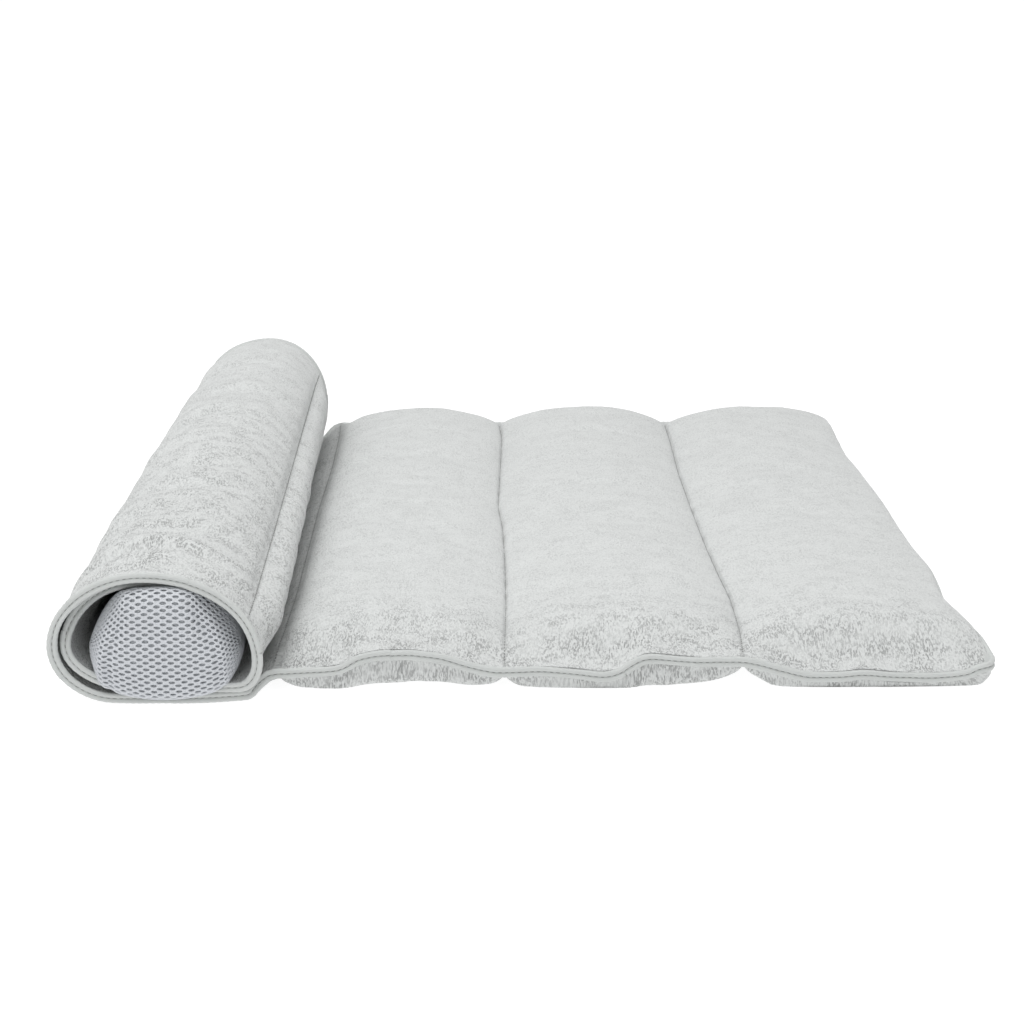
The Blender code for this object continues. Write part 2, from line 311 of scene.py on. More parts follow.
CORNER = 0.012  # radius of the futon's corners

# How far the free end, the flat seams and the crease stray from straight: distance across, offset
# towards the free end
SWAY = (
    ((0.0, 0.0050), (0.04, 0.0020), (0.085, -0.0030), (0.125, -0.0080), (0.15, -0.0050), (0.20, -0.0015),
     (0.27, -0.0048), (0.41, -0.0036), (0.48, -0.0052), (0.55, -0.0085), (0.62, -0.0060), (0.70, -0.0020)),
    ((0.0, -0.0050), (0.055, -0.0008), (0.126, 0.0006), (0.185, -0.0019), (0.262, -0.0042),
     (0.37, -0.0054), (0.50, -0.0058), (0.62, -0.0030), (0.70, -0.0026)),
    ((0.0, -0.0040), (0.049, -0.0030), (0.118, -0.0017), (0.218, -0.0018), (0.316, -0.0028),
     (0.387, -0.0068), (0.44, -0.0055), (0.50, -0.0044), (0.63, -0.0017), (0.70, -0.0044)),
    ((0.0, 0.0065), (0.15, 0.0085), (0.38, 0.0060), (0.53, 0.0070), (0.70, 0.0040)),
)

# Creases: channel, distance across, from and to as shares of the channel, arch, depth, half width
FACE_CREASES = (
    (3, 0.588, 0.15, 0.80, 0.006, 0.0012, 0.006),
    (3, 0.490, 0.20, 0.95, 0.008, 0.0016, 0.007),
    (3, 0.402, 0.10, 0.75, -0.006, 0.0014, 0.006),
    (3, 0.330, 0.35, 0.95, 0.008, 0.0012, 0.006),
    (2, 0.575, 0.10, 0.70, 0.006, 0.0014, 0.006),
    (2, 0.480, 0.20, 0.90, 0.010, 0.0012, 0.007),
    (2, 0.385, 0.02, 0.98, 0.016, 0.0024, 0.006),
    (2, 0.318, 0.30, 0.95, -0.006, 0.0012, 0.006),
    (2, 0.120, 0.40, 0.95, -0.010, 0.0012, 0.010),
    (1, 0.560, 0.15, 0.85, 0.006, 0.0014, 0.006),
    (1, 0.455, 0.10, 0.70, -0.008, 0.0014, 0.007),
    (1, 0.390, 0.30, 0.95, 0.008, 0.0012, 0.006),
    (1, 0.300, 0.15, 0.80, 0.006, 0.0012, 0.007),
    (1, 0.090, 0.20, 0.85, 0.010, 0.0016, 0.010),
)
BACK_CREASES = (
    (5, 0.034, 0.02, 0.98, 0.022, 0.0042, 0.007),
    (5, 0.088, 0.35, 0.95, 0.012, 0.0026, 0.010),
    (5, 0.140, 0.05, 0.55, -0.014, 0.0030, 0.011),
    (5, 0.215, 0.20, 0.85, -0.014, 0.0036, 0.012),
    (5, 0.310, 0.05, 0.60, 0.012, 0.0030, 0.011),
    (5, 0.400, 0.25, 0.90, 0.012, 0.0034, 0.012),
    (5, 0.500, 0.40, 0.95, -0.012, 0.0030, 0.011),
    (5, 0.590, 0.10, 0.70, 0.010, 0.0026, 0.010),
    (4, 0.060, 0.55, 0.98, 0.008, 0.0026, 0.009),
    (4, 0.180, 0.60, 0.98, 0.006, 0.0024, 0.009),
    (4, 0.330, 0.60, 0.98, 0.006, 0.0024, 0.009),
    (4, 0.470, 0.55, 0.98, -0.006, 0.0024, 0.009),
    (6, 0.080, 0.00, 0.30, 0.006, 0.0024, 0.008),
    (6, 0.210, 0.00, 0.30, 0.006, 0.0020, 0.009),
    (6, 0.340, 0.00, 0.30, -0.006, 0.0024, 0.008),
)
DIMPLES = (  # channel, share of the channel, distance across, depth, half width along and across
    (2, 0.22, 0.035, 0.0050, 0.022, 0.020),
    (3, 0.45, 0.030, 0.0030, 0.030, 0.018),
    (1, 0.75, 0.035, 0.0030, 0.025, 0.020),
    (1, 0.35, 0.030, 0.0030, 0.030, 0.016),
)


def channel_at(s):
    """The number of the channel that each length lies in, and how far across the channel it is."""
    k = np.clip(np.searchsorted(CHANNEL_ENDS, s, side="right") - 1, 0, len(CHANNEL_LOFT) - 1)
    return k + 1, (s - CHANNEL_ENDS[k]) / (CHANNEL_ENDS[k + 1] - CHANNEL_ENDS[k])


def creases(s, a, rows):
    """The depth of shallow creases that run along the channels' width."""
    number, share = channel_at(s)
    total = np.zeros(np.shape(s))
    for channel, across, start, stop, arch, depth, width in rows:
        u = np.clip((share - start) / (stop - start), 0, 1)
        middle = across + arch * (1 - (2 * u - 1) ** 2)
        fold = bell(a - middle, width) - 0.45 * bell(a - middle - 2 * width, 1.4 * width)
        total += (number == channel) * depth * np.sin(np.pi * u) ** 0.7 * fold
    return total


def dimples(s, a):
    number, share = channel_at(s)
    total = np.zeros(np.shape(s))
    for channel, middle, across, depth, along_width, across_width in DIMPLES:
        reach = (share - middle) * PITCH / along_width
        total += (number == channel) * depth * bell(reach, 1) * bell(a - across, across_width)
    return total


def relief(s, a, outer):
    """How far the cloth stands out from the pad's plain shape."""
    seed = 11 if outer else 3
    broad, fine = (0.0028, 0.0012) if outer else (0.0011, 0.0006)
    swell = broad * noise(s, a, (0.060, 0.050), seed) + fine * noise(s, a, (0.022, 0.016), seed + 1)
    pile = 0.00022 * noise(s, a, (0.0036, 0.0042), seed + 2)
    if outer:
        return swell + pile - creases(s, a, BACK_CREASES)
    return swell + pile - creases(s, a, FACE_CREASES) - dimples(s, a)


def rounded_corners(s, a):
    """The lengths with the futon's free ends drawn in towards its corners."""
    edge = np.clip(np.minimum(a, WIDTH - a), 0, CORNER)
    inset = CORNER - np.sqrt(np.maximum(CORNER**2 - (CORNER - edge) ** 2, 0))
    near = 1 - smooth((s - CHANNEL_ENDS[0]) / (3 * CORNER))
    far = 1 - smooth((ROLL_END - s) / (3 * CORNER))
    return s + inset * (near - far)


def sway(s, a):
    """How far the sway of the seams carries each point of the flat part towards the free end."""
    offsets = [eased(line, a, SWAY_EASE) for line in SWAY]
    total = np.where(s >= 0, offsets[-1] * (1 - smooth(s / CREASE_RUN)), 0.0)
    for k in range(3):
        share = (s - CHANNEL_ENDS[k]) / PITCH
        inside = (share >= 0) & (share < 1)
        share = smooth(share)
        total = total + inside * (offsets[k] * (1 - share) + offsets[k + 1] * share)
    return total


def loft_at(s, outer):
    """How full the pad is at each length: 0 at the seams, and 1 in the middle of a channel."""
    number, share = channel_at(s)
    arch = np.sin(np.pi * np.clip(share, 0, 1))
    if outer:
        return arch ** np.where(s < 0, UNDER_LOFT_POWER, ROLL_LOFT_POWER)
    power = np.where(s < 0, FLAT_LOFT_POWER, ROLL_LOFT_POWER)
    power = np.where((number == 1) & (share < 0.5), FREE_END_POWER, power)
    by_crease = CREASE_SHARE + (1 - CREASE_SHARE) * smooth(-s / CREASE_EASE)
    return arch**power * np.where(number == 3, by_crease, 1.0)


def thickness(s, a, outer, loft):
    """The pad's thickness as this cover sees it."""
    near = rise(a, BACK_RISE if outer else FACE_RISE)
    far = rise(WIDTH - a, FAR_RISE) ** FAR_RISE_POWER
    plump = 1 + (FAR_PLUMP - 1) * smooth((a - WIDTH / 2) / (WIDTH / 2 - FAR_PLUMP_SHORT))
    rolled = rise(np.minimum(a, WIDTH - a), ROLL_RISE)
    filled = np.where(s < 0, near * far * plump, rolled)
    full = CHANNEL_LOFT[channel_at(s)[0] - 1]
    return SEAM_THICK + loft * (EDGE_THICK - SEAM_THICK + (full - EDGE_THICK) * filled)


def roll_point(s, a, outer, thick, out):
    """The rolled channels' skin in x and z."""
    full = rise(np.minimum(a, WIDTH - a), ROLL_RISE)
    skin, inward = SKIN.at(np.maximum(rounded_corners(s, a), 0), a / WIDTH, full)
    pinch = SEAM_PINCH * sum(bell(s - seam, SEAM_PINCH_WIDTH) for seam in CHANNEL_ENDS[4:7])
    bulge = STRIP_BULGE * bell(s - STRIP_MIDDLE, STRIP_WIDTH) * (1 - STRIP_FADE * smooth(a / WIDTH))
    depth = (pinch - bulge) * full - out if outer else thick + out
    return skin + inward * (depth + EDGE_INSET * (1 - full))[..., None]


def drawn_out(s, a):
    """How far the cloth is drawn out towards the viewer."""
    by_mouth = 1 - smooth(a / MOUTH_REACH)
    roll = ROLL_OUT * smooth((s - ROLL_OUT_START) / ROLL_OUT_RUN)
    mouth = MOUTH_OUT * by_mouth * smooth(s / MOUTH_OUT_RUN)
    return roll + mouth - SET_BACK * by_mouth * smooth((s - SET_BACK_START) / SET_BACK_RUN)


def pad_point(s, a, outer, lift=0.0):
    """Points of the pad's skin, on its back cover if outer, else on its face, raised by lift."""
    s, a = np.broadcast_arrays(np.asarray(s, float), np.asarray(a, float))
    flat, edge = s < 0, np.minimum(a, WIDTH - a)
    loft = loft_at(s, outer)
    thick = thickness(s, a, outer, loft)
    out = relief(s, a, outer) * np.minimum(loft, 1) * smooth(edge / RELIEF_FADE) + lift

    dip = (eased(FRONT_EDGE, s, FRONT_EDGE_EASE) - SEAM_Z) * (1 - smooth(a / FRONT_EDGE_REACH))
    flat_z = SEAM_Z + dip + (-UNDERSIDE * thick / 2 - out if outer else thick / 2 + out)
    roll = roll_point(s, a, outer, thick, out)
    roll_z = roll[..., 1] + dip * (1 - smooth(s / CREASE_RUN))

    x = np.where(flat, -rounded_corners(s, a), roll[..., 0]) + sway(s, a)
    y = MOUTH_Y + a - drawn_out(s, a)
    if outer:
        bulge = smooth(a / FRONT_BULGE_RISE) * (1 - smooth(a / FRONT_BULGE_REACH))
        y = y - flat * FRONT_BULGE * np.minimum(loft, 1) * bulge
    z = np.maximum(np.where(flat, flat_z, roll_z), FLOOR_GAP)
    return np.stack([x + CREASE_X, y, z], axis=-1)


def graded(length, step):
    """Distances from 0 to length, closer together near 0."""
    q = np.linspace(0, 1, math.ceil(length / step) + 1)
    return length * (0.35 * q + 0.65 * q * q)


def stations_along():
    """The lengths at which the pad has vertices, closest together at the seams."""
    lengths = []
    for start, stop in zip(CHANNEL_ENDS[:-1], CHANNEL_ENDS[1:]):
        half = graded((stop - start) / 2, STEP_ALONG)
        lengths += [*(start + half[:-1]), *(stop - half[:0:-1])]
        lengths.insert(-len(half) + 1, (start + stop) / 2)
    return np.unique(np.round([*lengths, ROLL_END], 7))


def stations_across():
    half = graded(WIDTH / 2, STEP_ACROSS)
    return np.concatenate([half, WIDTH - half[-2::-1]])


class Parts:
    """A mesh put together from grids of points, each with its own material."""

    def __init__(self):
        self.points, self.faces, self.uvs, self.normals, self.finish = [], [], [], [], []
        self.count = 0

    def grid(self, points, ring=False, uv=None, normals=None, finish=0, flip=False):
        """Adds a grid, or a batch of equal grids, closed round its last direction if ring."""
        points = np.asarray(points, float)
        points = points.reshape(-1, *points.shape[-3:])
        batch, rows, cols = points.shape[:3]
        i, j = np.meshgrid(np.arange(rows - 1), np.arange(cols if ring else cols - 1), indexing="ij")
        j2 = (j + 1) % cols
        quad = np.stack([i * cols + j, i * cols + j2, (i + 1) * cols + j2, (i + 1) * cols + j], -1)
        quad = quad.reshape(-1, 4)[:, ::-1] if flip else quad.reshape(-1, 4)
        faces = quad[None] + (np.arange(batch) * rows * cols)[:, None, None] + self.count
        self.faces.append(faces.reshape(-1, 4))
        self.points.append(points.reshape(-1, 3))
        uv = np.zeros((batch * rows * cols, 2)) if uv is None else np.asarray(uv).reshape(-1, 2)
        self.uvs.append(uv)
        self.normals.append(
            np.zeros((batch * rows * cols, 3)) if normals is None else np.asarray(normals).reshape(-1, 3)
        )
        self.finish.append(np.full(len(self.faces[-1]), finish))
        self.count += batch * rows * cols

    def object(self, name, *materials):
        """The mesh as an object. A zero normal leaves Blender's own."""
        mesh = bpy.data.meshes.new(name)
        mesh.from_pydata(np.concatenate(self.points).tolist(), [], np.concatenate(self.faces).tolist())
        for item in materials:
            mesh.materials.append(item)
        mesh.polygons.foreach_set("material_index", np.concatenate(self.finish).astype(np.int32))
        mesh.polygons.foreach_set("use_smooth", np.ones(len(mesh.polygons), bool))
        corners = np.zeros(len(mesh.loops), np.int32)
        mesh.loops.foreach_get("vertex_index", corners)
        layer = mesh.uv_layers.new(name="cloth")
        layer.uv.foreach_set("vector", np.concatenate(self.uvs)[corners].astype(np.float32).ravel())
        normals = np.concatenate(self.normals)
        if np.abs(normals).max() > 0:
            mesh.normals_split_custom_set_from_vertices(normals.tolist())
        mesh.update()
        obj = bpy.data.objects.new(name, mesh)
        bpy.context.scene.collection.objects.link(obj)
        return obj


def surface_normals(points):
    """Outward normals of a grid that is closed round its second direction."""
    along = np.gradient(points, axis=0)
    around = np.roll(points, -1, axis=1) - np.roll(points, 1, axis=1)
    normals = np.cross(around, along)
    return normals / np.maximum(np.linalg.norm(normals, axis=-1, keepdims=True), 1e-12)


class Pad:
    """The whole pad as one grid: rows along the futon, columns round it from edge to edge and back."""

    def __init__(self):
        self.lengths = stations_along()
        across = stations_across()
        s = self.lengths[:, None]
        back, face = pad_point(s, across[None], True), pad_point(s, across[None], False)
        self.points = np.concatenate([back, face[:, ::-1]], axis=1)
        self.normals = surface_normals(self.points)
        ring = np.concatenate([across, 2 * WIDTH + FACE_START - across[::-1]])
        self.uv = np.stack(np.broadcast_arrays(s, ring[None]), axis=-1)
        self.parting = self.partings(s, across)
        # seam: painted shade along the sewn seams, broken up along them, and a wider band of painted shade
        # in the crease beside the roll
        broken = 0.5 + 0.5 * noise(0 * ring[None] + s, ring[None], (1, 0.006), 21)
        sewn = sum(bell(s - seam, 0.0011) for seam in CHANNEL_ENDS[1:-1])
        self.seam = np.minimum(broken * sewn + 0.7 * bell(s, 0.007), 1.0)

    @staticmethod
    def partings(s, across):
        """How far the pile is parted, which also sets how much painted shade its partings carry: little on
        top of the flat channels, most where the cloth bends.
        """
        flat = 0.32 + 0.63 * bell(across / 0.062, 1.0) + 0.25 * bell(np.minimum(-s, 0.2), 0.03)
        face = np.where(s < 0, flat, 0.8)
        # painted shade: the underside's partings are strongest along its front edge and fade towards the
        # rear
        back = 0.95 - 0.50 * across / WIDTH + 0 * s
        return np.concatenate([back, face[:, ::-1]], axis=1)

    def row(self, length):
        return int(np.argmin(np.abs(self.lengths - length)))

    def bend(self, start, stop, pivot):
        """The blend's ends, placed so that the strip's first and last rows each turn with one body."""
        if start < 0:
            way = FLAT_BEND if stop < 0 else CREASE_RUN
            return pivot + Vector((way, 0, 0)), pivot - Vector((way, 0, 0))
        first, last = self.points[self.row(start)], self.points[self.row(stop)]
        low, high = first.mean(0), last.mean(0)
        line = high - low
        line[1] = 0
        line /= np.linalg.norm(line)
        begin = ((first - low) @ line).max() + BEND_MARGIN
        end = ((last - low) @ line).min() - BEND_MARGIN
        return Vector(low + line * begin), Vector(low + line * end)


PAD = Pad()

# Binding: a double rib of tape round every edge, stitched along the groove between its ribs
RIB = 0.0019  # radius of one rib
TAPE_WIDTH = 0.024  # once round the edge
TAPE_STEP = 0.0011
STITCH_PITCH = 0.0046
STITCH_LENGTH = 0.0030
THREAD = 0.00034  # radius
QUILT_PITCH = 0.0042  # the same for the thread along the sewn seams
QUILT_LENGTH = 0.0029
QUILT_THREAD = 0.00050
QUILT_START = 0.012  # from the edge


def binding_profile():
    """The double rib's section: distance out from the edge, and height above its middle."""
    turns = np.radians(np.arange(165, -80, -20))
    upper = np.stack([0.0004 + RIB * np.cos(turns), RIB * (1.0 + np.sin(turns))], axis=1)
    lower = upper[::-1] * (1, -1)
    inside = np.array([(-0.0040, -EDGE_THICK / 2), (-0.0055, 0.0), (-0.0040, EDGE_THICK / 2)])
    return np.concatenate([upper, lower, inside])


def edge_frame(s, a):
    """For a path along the pad's edge: its points, and the directions along, out and up."""
    back, face = pad_point(s, a, True), pad_point(s, a, False)
    middle, up = averaged((back + face) / 2, np.ones(9)), averaged(face - back, np.ones(9))
    up /= np.linalg.norm(up, axis=1, keepdims=True)
    along = np.gradient(middle, axis=0)
    along /= np.linalg.norm(along, axis=1, keepdims=True)
    out = np.cross(along, up)
    out /= np.linalg.norm(out, axis=1, keepdims=True)
    return middle, along, out, np.cross(out, along)


def edge_paths(start, stop):
    """The bound edges of a strip, as (s, a) lines with the outside on their right."""
    run = np.linspace(start, stop, math.ceil((stop - start) / TAPE_STEP))
    across = np.linspace(0, WIDTH, math.ceil(WIDTH / TAPE_STEP))
    corner = np.linspace(0, CORNER, 16) ** 2 / CORNER
    across = np.unique(np.concatenate([corner, across[across > CORNER], WIDTH - corner]))
    across = across[across <= WIDTH]
    front = (run, np.zeros(len(run)))
    rear = (run, np.full(len(run), WIDTH))
    if start == CHANNEL_ENDS[0]:
        end = (np.full(len(across), start), across)
        return [tuple(np.concatenate([f[::-1], e[1:-1], r]) for f, e, r in zip(front, end, rear))]
    if stop == ROLL_END:
        end = (np.full(len(across), stop), across)
        return [tuple(np.concatenate([f, e[1:-1], r[::-1]]) for f, e, r in zip(front, end, rear))]
    return [front, rear]


def thin_out(points, *others, least=0.0004):
    """The rows of a path whose points aren't nearly on top of the one before."""
    keep = [0]
    for k in range(1, len(points)):
        if np.linalg.norm(points[k] - points[keep[-1]]) > least:
            keep.append(k)
    return [x[keep] for x in (points, *others)]


def stitches(points, along, up, pitch, length, radius):
    """Short threads laid end to end along a line, a little sunk at their ends."""
    steps = np.linalg.norm(np.diff(points, axis=0), axis=1)
    run = np.concatenate([[0.0], np.cumsum(steps)])
    centres = np.arange(pitch / 2, run[-1], pitch)

    def at(values):
        return np.stack([np.interp(centres, run, values[:, k]) for k in range(3)], axis=1)

    side = np.cross(along, up)
    centre, along, up, side = at(points), at(along), at(up), at(side)
    share = np.array((-1.0, -0.86, -0.45, 0.0, 0.45, 0.86, 1.0))
    thick = radius * np.sqrt(np.maximum(1 - share**2, 0.02))
    sink = -radius * 1.1 * share**2
    turns = np.radians(np.arange(0, 360, 60))
    line = share * length / 2
    ring = np.stack([
        np.broadcast_to(line[:, None], (7, 6)),
        thick[:, None] * np.cos(turns) + sink[:, None],
        thick[:, None] * np.sin(turns),
    ], axis=-1)
    axes = np.stack([along, up, side], axis=1)
    return centre[:, None, None] + np.einsum("rck,nkx->nrcx", ring, axes)


def binding(name, start, stop, tape, thread):
    """The tape and its stitching on a strip's edges."""
    parts = Parts()
    profile = binding_profile()
    for s, a in edge_paths(start, stop):
        middle, along, out, up = edge_frame(s, a)
        middle, along, out, up, s, a = thin_out(middle, along, out, up, s, a)
        sign = 1 if np.mean((pad_inside(s, a) - middle) * out) < 0 else -1
        out = out * sign
        run = np.cumsum(np.linalg.norm(np.gradient(middle, axis=0), axis=1))
        swell = 0.025 * np.cos(2 * np.pi * run / STITCH_PITCH)
        puff = 1 + swell + 0.08 * noise(run, 0 * run, (0.02, 1), 5)
        shift = 0.0004 * noise(run, 0 * run, (0.035, 1), 6)
        section = profile[None] * puff[:, None, None]
        points = (
            middle[:, None]
            + out[:, None] * section[..., :1]
            + up[:, None] * (section[..., 1:] + shift[:, None, None])
        )
        around = np.linspace(0, TAPE_WIDTH, len(profile))
        uv = np.stack(np.broadcast_arrays(run[:, None], around[None]), axis=-1)
        parts.grid(points, ring=True, uv=uv, flip=sign < 0)
        groove = middle + out * (RIB * 0.60) + up * shift[:, None]
        parts.grid(stitches(groove, along, out, STITCH_PITCH, STITCH_LENGTH, THREAD), ring=True, finish=1)
    return parts.object(f"binding_{name}", tape, thread)


def pad_inside(s, a):
    """Points a little in from the pad's edge."""
    inner_a = np.clip(a, 0.01, WIDTH - 0.01)
    inner_s = np.clip(s, CHANNEL_ENDS[0] + 0.01, ROLL_END - 0.01)
    return (pad_point(inner_s, inner_a, True) + pad_point(inner_s, inner_a, False)) / 2


def quilting(name, seam, thread):
    """Thread along one sewn seam, on the face and on the back."""
    parts = Parts()
    a = np.linspace(QUILT_START, WIDTH - QUILT_START, 400)
    for outer in (True, False):
        line = pad_point(np.full(len(a), seam), a, outer, lift=QUILT_THREAD * 0.4)
        near = pad_point(np.full(len(a), seam + 0.0005), a, outer)
        along = np.gradient(line, axis=0)
        along /= np.linalg.norm(along, axis=1, keepdims=True)
        up = np.cross(near - line, along) * (1 if outer else -1)
        up /= np.linalg.norm(up, axis=1, keepdims=True)
        parts.grid(stitches(line, along, up, QUILT_PITCH, QUILT_LENGTH, QUILT_THREAD), ring=True)
    return parts.object(f"quilting_{name}", thread)


# The pillow's middle section: distance behind the futon's mouth, and height, from its far end over
# the top to the near end and back underneath
PILLOW_LOOP = np.array((
    (0.4000, 0.0450), (0.3900, 0.0590), (0.3500, 0.0770), (0.2400, 0.0750), (0.0600, 0.0730),
    (0.0150, 0.0790), (0.0040, 0.0845), (-0.0040, 0.0855), (-0.0105, 0.0800), (-0.0150, 0.0660),
    (-0.0170, 0.0460), (-0.0165, 0.0260), (-0.0145, 0.0130), (-0.0110, 0.0070), (-0.0065, 0.0065),
    (-0.0020, 0.0120), (0.0040, 0.0185), (0.0150, 0.0220), (0.0600, 0.0275), (0.2400, 0.0275),
    (0.3500, 0.0280), (0.3900, 0.0330), (0.4000, 0.0450),
))
PILLOW_SEAM_Z = 0.042
PILLOW_X = -0.0690  # its middle, from the crease
PILLOW_HALF = 0.0440  # half width inside the roll
PILLOW_NEAR = (-0.004, 0.042)  # distances behind the mouth: the near end's shape goes over to the
PILLOW_FAR = (0.30, 0.40)  # middle's, and the far end's corners are rounded by
PILLOW_FAR_ROUND = 0.03  # this much
PILLOW_BOX = (0.45, 0.9)  # how round its section is at the near end, and inside the roll
PILLOW_FOLDS = ((0.042, 0.039), (0.024, 0.019))  # the near end turns back beyond folds this far left
PILLOW_FOLD_Z = (0.030, 0.085)  # and right, at the lower height and at the upper one,
PILLOW_TURN = 52  # by this angle
PILLOW_SIDE = 0.0660  # half the width of the mesh
NEAR_BOW = 14  # degrees by which the near end bows between its folds
NEAR_STRETCH = 1.06
HOLE_PITCH = 0.0079
ROW_PITCH = 0.0025
HOLE = (0.00215, 0.00120)  # half width and half height of a hole
YARN = 0.0007
LINER_DEPTH = 0.0018


def spline(points, count):
    """A smooth closed-ended line through points, at even spacing."""
    ends = np.concatenate([2 * points[:1] - points[1:2], points, 2 * points[-1:] - points[-2:-1]])
    t = np.linspace(0, 1, 24, endpoint=False)[:, None]
    pieces = []
    for k in range(1, len(ends) - 2):
        p0, p1, p2, p3 = ends[k - 1 : k + 3]
        pieces.append(0.5 * (
            2 * p1 + (p2 - p0) * t + (2 * p0 - 5 * p1 + 4 * p2 - p3) * t**2
            + (3 * p1 - p0 - 3 * p2 + p3) * t**3
        ))
    line = np.concatenate([*pieces, points[-1:]])
    run = np.concatenate([[0], np.cumsum(np.linalg.norm(np.diff(line, axis=0), axis=1))])
    at = np.linspace(0, run[-1], count)
    return np.stack([np.interp(at, run, line[:, k]) for k in (0, 1)], 1), run[-1]


LOOP, LOOP_LENGTH = spline(PILLOW_LOOP, 1200)


def near_end_plan(folds):
    """For shares across the mesh from -1 to 1, the near end's x and how far it falls back."""
    share = np.linspace(-1, 1, 401)
    run = share * PILLOW_SIDE
    fold = np.where(run < 0, folds[0], folds[1])
    turn = np.radians(PILLOW_TURN) * smooth((np.abs(run) - fold + 0.006) / 0.012)
    turn += np.radians(NEAR_BOW) * np.clip(np.abs(run) / fold, 0, 1) ** 2
    step = PILLOW_SIDE / 200
    x = np.cumsum(np.cos(turn)) * step
    back = np.cumsum(np.sign(run) * np.sin(turn)) * step
    return share, NEAR_STRETCH * (x - x[200]), back - back[200]


PLANS = [near_end_plan(folds) for folds in PILLOW_FOLDS]


def pillow_surface(p, q):
    """Points of the pillow, for shares p across it from -1 to 1 and q round its middle from 0 to 1."""
    p = np.clip(p, -1, 1)
    at = q * (len(LOOP) - 1)
    y0 = np.interp(at, np.arange(len(LOOP)), LOOP[:, 0])
    z0 = np.interp(at, np.arange(len(LOOP)), LOOP[:, 1])
    near, far = 1 - rise(y0, PILLOW_NEAR), rise(y0, PILLOW_FAR)
    box = PILLOW_BOX[0] * near + PILLOW_BOX[1] * (1 - near)
    tall = np.abs(np.cos(p * np.pi / 2)) ** box
    z = PILLOW_SEAM_Z + (z0 - PILLOW_SEAM_Z) * tall
    upper = rise(z, PILLOW_FOLD_Z)
    x_near, back = (mix([np.interp(p, plan[0], plan[k]) for plan in PLANS], upper) for k in (1, 2))
    left, right = (mix([folds[k] for folds in PILLOW_FOLDS], upper) for k in (0, 1))
    x = x_near * near + PILLOW_HALF * np.sin(p * np.pi / 2) * (1 - near)
    y = y0 + near * back - far * PILLOW_FAR_ROUND * (1 - tall)
    dent = 0.0022 * near * (bell(x + 0.012, 0.018) * bell(z - 0.056, 0.010))
    crease = 0.0026 * near * (bell(x + left - 0.004, 0.003) + bell(x - right, 0.003))
    out = ROLL_OUT + 0.8 * MOUTH_OUT * near
    return np.stack([x + CREASE_X + PILLOW_X, MOUTH_Y - out + y + dent + crease, z], axis=-1)


def mesh_cells():
    """The knitted mesh's cells over the pillow: rings of points from a cell's border to its hole."""
    columns = 2 * round(PILLOW_SIDE / HOLE_PITCH)
    rows = round(LOOP_LENGTH / ROW_PITCH)
    turns = np.radians(np.arange(0, 360, 30) + 15)
    corner = np.array((np.cos(turns), np.sin(turns))).T
    border = np.clip(corner * 1.25, -1, 1) * (HOLE_PITCH / 2, ROW_PITCH)
    border[:, 1] *= np.where(np.abs(border[:, 0]) > HOLE_PITCH * 0.42, 0.5, 1.0)
    hole = corner * HOLE
    rings = [border, border * 0.42 + hole * 0.58, hole, hole * 0.94]
    lift = [0.0, YARN * 0.75, YARN * 0.35, -YARN * 0.9]
    centres = []
    for row in range(rows):
        offset = 0.5 * (row % 2)
        for column in range(columns):
            centres.append(((column + offset - columns / 2 + 0.25) * HOLE_PITCH, row * ROW_PITCH))
    return np.array(centres), rings, lift, columns * HOLE_PITCH / 2


def pillow_mesh(yarn, liner):
    """The pillow's open mesh skin, and the cloth under it."""
    centres, rings, lift, half = mesh_cells()
    points = np.stack([centres[:, None] + ring[None] for ring in rings], axis=1)
    p, q = points[..., 0] / half * 0.985, np.clip(points[..., 1] / LOOP_LENGTH, 0, 1)
    ring_points = pillow_surface(p, q)
    eps = 0.002
    du = pillow_surface(p + eps, q) - pillow_surface(p - eps, q)
    dv = pillow_surface(p, np.clip(q + eps, 0, 1)) - pillow_surface(p, np.clip(q - eps, 0, 1))
    normal = np.cross(du, dv)
    normal /= np.maximum(np.linalg.norm(normal, axis=-1, keepdims=True), 1e-9)
    ring_points = ring_points - normal * np.array(lift)[None, :, None, None]
    skin = Parts()
    skin.grid(ring_points, ring=True)
    inner = Parts()
    u, v = np.meshgrid(np.linspace(-1, 1, 61), np.linspace(0, 1, 501), indexing="ij")
    under = pillow_surface(u, v)
    du, dv = np.gradient(under, axis=0), np.gradient(under, axis=1)
    normal = np.cross(du, dv)
    normal /= np.maximum(np.linalg.norm(normal, axis=-1, keepdims=True), 1e-9)
    inner.grid(under + normal * LINER_DEPTH, uv=np.stack([u * half, v * LOOP_LENGTH], -1))
    return skin.object("pillow_mesh", yarn), inner.object("pillow_liner", liner)


# Finishes
TERRY = (0.655, 0.670, 0.663)
# painted shade: the dark that the towelling is blended towards in its partings, between its loops, along
# the seams and in the crease
TERRY_SHADE = (0.20, 0.205, 0.203)
TAPE_COLOUR = (0.622, 0.642, 0.630)
# the thread's own pale grey darkened with painted shade of the grooves it lies in
THREAD_AND_GROOVE_SHADE = (0.26, 0.266, 0.26)
YARN_COLOUR = (0.625, 0.645, 0.675)
LINER_COLOUR = (0.56, 0.58, 0.605)


